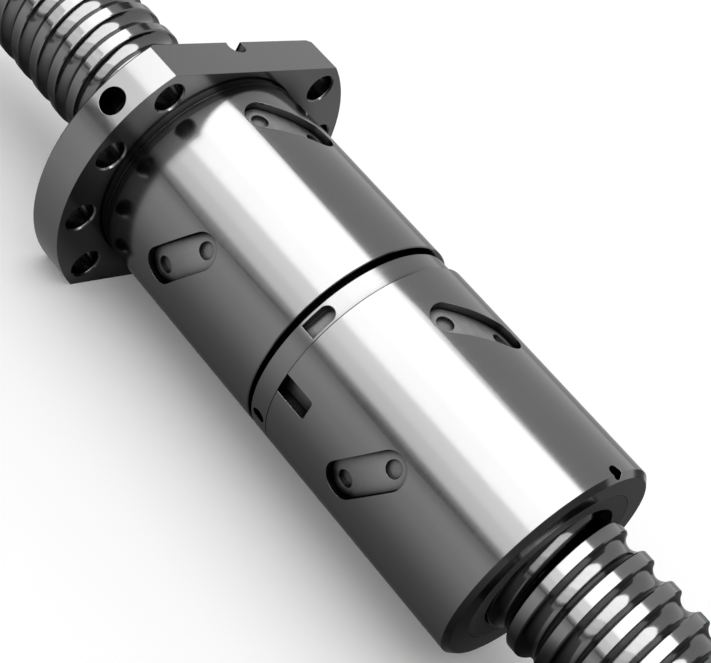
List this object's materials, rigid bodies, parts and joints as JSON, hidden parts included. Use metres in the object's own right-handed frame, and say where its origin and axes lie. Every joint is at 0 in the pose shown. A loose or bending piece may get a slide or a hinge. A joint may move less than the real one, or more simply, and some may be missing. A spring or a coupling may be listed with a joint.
{
  "type": "ball screw",
  "caption": "Ball screw with a flanged double nut: ground helical ball groove, slanted return inserts, spacer ring and a cut-sided flange with bolt holes.",
  "frame": {"origin": "on the screw axis, at the flange's front face, which the bolted part meets", "axes": "+X along the screw axis from the flange towards the plain nut, +Z square to the flange's flats"},
  "size_m": [0.348, 0.099, 0.0754],
  "materials": {
    "ground_thread": "ground and hardened ball screw steel",
    "nut_steel": "fine ground nut bodies",
    "spacer_steel": "turned steel ring",
    "insert_steel": "moulded and ground return inserts",
    "ball_steel": "polished bearing balls",
    "wiper_plastic": "dark plastic wiper"
  },
  "bodies": {
    "screw": {"screw_shaft": "ground_thread"},
    "nut_carrier": {"backing_washer_flange_end": "spacer_steel"},
    "nut": {"flanged_nut": "nut_steel", "plain_nut": "nut_steel", "spacer_ring": "spacer_steel", "nut_key": "insert_steel", "wiper_flange_end": "wiper_plastic", "wiper_free_end": "wiper_plastic", "backing_washer_free_end": "spacer_steel", "return_insert_1": "insert_steel", "return_insert_2": "insert_steel", "return_insert_3": "insert_steel", "return_insert_4": "insert_steel", "return_insert_5": "insert_steel", "return_insert_6": "insert_steel", "return_insert_7": "insert_steel", "return_insert_8": "insert_steel", "ball_circuit_1": "ball_steel", "ball_circuit_2": "ball_steel", "ball_circuit_3": "ball_steel", "ball_circuit_4": "ball_steel", "ball_circuit_5": "ball_steel", "ball_circuit_6": "ball_steel", "ball_circuit_7": "ball_steel", "ball_circuit_8": "ball_steel"}
  },
  "joints": [
    {"name": "nut_travel", "type": "slide", "parent": "screw", "child": "nut_carrier", "axis": [1, 0, 0], "range_m": [-0.071, 0.052]},
    {"name": "nut_turn", "type": "hinge", "parent": "nut_carrier", "child": "nut", "pos_m": [0, 0, 0], "axis": [1, 0, 0], "range_deg": [-2520, 1800]}
  ],
  "couplings": [
    {"joint": "nut_travel", "follows": "nut_turn", "m_per_rad": 0.0015915}
  ]
}
